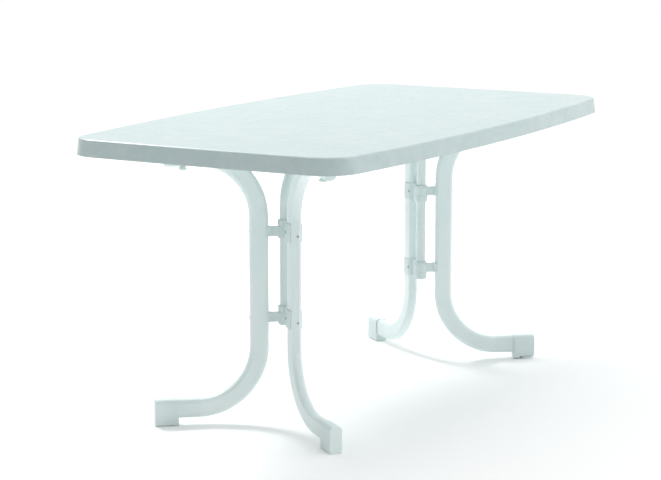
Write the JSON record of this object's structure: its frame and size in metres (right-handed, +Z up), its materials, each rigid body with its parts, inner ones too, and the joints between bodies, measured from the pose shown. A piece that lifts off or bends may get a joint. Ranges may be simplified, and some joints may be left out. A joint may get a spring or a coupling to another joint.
{
  "type": "folding picnic table",
  "caption": "Boat-shaped moulded table top on hinged C-shaped tube legs that swing flat and fold up under it.",
  "frame": {"origin": "on the floor, under the middle of the top", "axes": "+X along the top's long way, +Y across it, +Z up"},
  "size_m": [1.4998, 0.8196, 0.72],
  "materials": {
    "moulded_top": "satin melamine-faced moulded wood composite, faint marbling",
    "powder_coated_steel": "smooth satin powder coat, pale grey-green white",
    "pale_plastic": "moulded, fine matte grain",
    "bare_steel": "zinc plated"
  },
  "bodies": {
    "tabletop": {"tabletop": "moulded_top", "guide_plate_a1": "pale_plastic", "guide_plate_a2": "pale_plastic", "guide_plate_b1": "pale_plastic", "guide_plate_b2": "pale_plastic", "fold_bracket_a": "powder_coated_steel", "fold_pin_a": "bare_steel", "fold_bracket_b": "powder_coated_steel", "fold_pin_b": "bare_steel", "bracket_screws": "bare_steel", "guide_screws": "bare_steel"},
    "leg_a1": {"leg_a1_tube": "powder_coated_steel", "leg_a1_foot_cap": "pale_plastic", "leg_a1_top_cap": "pale_plastic", "leg_a1_hinge_screws": "bare_steel", "leg_a1_lock_spring": "bare_steel", "leg_a1_upper_leaf": "pale_plastic", "leg_a1_lower_leaf": "pale_plastic"},
    "lock_a1": {"leg_a1_lock_pin": "pale_plastic"},
    "leg_a2": {"leg_a2_tube": "powder_coated_steel", "leg_a2_foot_cap": "pale_plastic", "leg_a2_top_cap": "pale_plastic", "leg_a2_hinge_screws": "bare_steel", "leg_a2_lock_spring": "bare_steel", "leg_a2_upper_fork": "pale_plastic", "leg_a2_lower_fork": "pale_plastic", "leg_a2_saddle_rivets": "bare_steel"},
    "lock_a2": {"leg_a2_lock_pin": "pale_plastic"},
    "leg_b1": {"leg_b1_tube": "powder_coated_steel", "leg_b1_foot_cap": "pale_plastic", "leg_b1_top_cap": "pale_plastic", "leg_b1_hinge_screws": "bare_steel", "leg_b1_lock_spring": "bare_steel", "leg_b1_upper_leaf": "pale_plastic", "leg_b1_lower_leaf": "pale_plastic", "levelling_nut": "bare_steel"},
    "lock_b1": {"leg_b1_lock_pin": "pale_plastic"},
    "leg_b2": {"leg_b2_tube": "powder_coated_steel", "leg_b2_foot_cap": "pale_plastic", "leg_b2_top_cap": "pale_plastic", "leg_b2_hinge_screws": "bare_steel", "leg_b2_lock_spring": "bare_steel", "leg_b2_upper_fork": "pale_plastic", "leg_b2_lower_fork": "pale_plastic", "leg_b2_saddle_rivets": "bare_steel"},
    "lock_b2": {"leg_b2_lock_pin": "pale_plastic"},
    "levelling_wheel": {"levelling_wheel": "pale_plastic"},
    "post_a": {"post_a": "powder_coated_steel", "post_plug_a": "pale_plastic"},
    "post_b": {"post_b": "powder_coated_steel", "post_plug_b": "pale_plastic"}
  },
  "joints": [
    {"name": "fold_a", "type": "hinge", "parent": "tabletop", "child": "post_a", "pos_m": [-0.30663, 0, 0.662], "axis": [0, -1, 0], "range_deg": [0, 90]},
    {"name": "swing_a2", "type": "hinge", "parent": "post_a", "child": "leg_a2", "pos_m": [-0.36263, 0, 0.36], "axis": [0, 0, 1], "range_deg": [0, 37.5]},
    {"name": "swing_a1", "type": "hinge", "parent": "post_a", "child": "leg_a1", "pos_m": [-0.36263, 0, 0.36], "axis": [0, 0, -1], "range_deg": [0, 37.5]},
    {"name": "fold_b", "type": "hinge", "parent": "tabletop", "child": "post_b", "pos_m": [0.34263, 0, 0.662], "axis": [0, 1, 0], "range_deg": [0, 90]},
    {"name": "swing_b2", "type": "hinge", "parent": "post_b", "child": "leg_b2", "pos_m": [0.36263, 0, 0.36], "axis": [0, 0, 1], "range_deg": [0, 37.5]},
    {"name": "swing_b1", "type": "hinge", "parent": "post_b", "child": "leg_b1", "pos_m": [0.36263, 0, 0.36], "axis": [0, 0, -1], "range_deg": [0, 37.5]},
    {"name": "lock_a1_pull", "type": "slide", "parent": "leg_a1", "child": "lock_a1", "axis": [0, 0, -1], "range_m": [0, 0.006], "stiffness_N_per_m": 300, "springref_m": -0.004, "deforming": ["leg_a1_lock_spring"]},
    {"name": "lock_a2_pull", "type": "slide", "parent": "leg_a2", "child": "lock_a2", "axis": [0, 0, -1], "range_m": [0, 0.006], "stiffness_N_per_m": 300, "springref_m": -0.004, "deforming": ["leg_a2_lock_spring"]},
    {"name": "lock_b1_pull", "type": "slide", "parent": "leg_b1", "child": "lock_b1", "axis": [0, 0, -1], "range_m": [0, 0.006], "stiffness_N_per_m": 300, "springref_m": -0.004, "deforming": ["leg_b1_lock_spring"]},
    {"name": "lock_b2_pull", "type": "slide", "parent": "leg_b2", "child": "lock_b2", "axis": [0, 0, -1], "range_m": [0, 0.006], "stiffness_N_per_m": 300, "springref_m": -0.004, "deforming": ["leg_b2_lock_spring"]},
    {"name": "levelling_foot", "type": "slide", "parent": "leg_b1", "child": "levelling_wheel", "axis": [0, 0, -1], "range_m": [0, 0.008]}
  ],
  "couplings": [
    {"joint": "swing_a1", "follows": "swing_a2", "ratio": 1},
    {"joint": "swing_b1", "follows": "swing_b2", "ratio": 1}
  ]
}
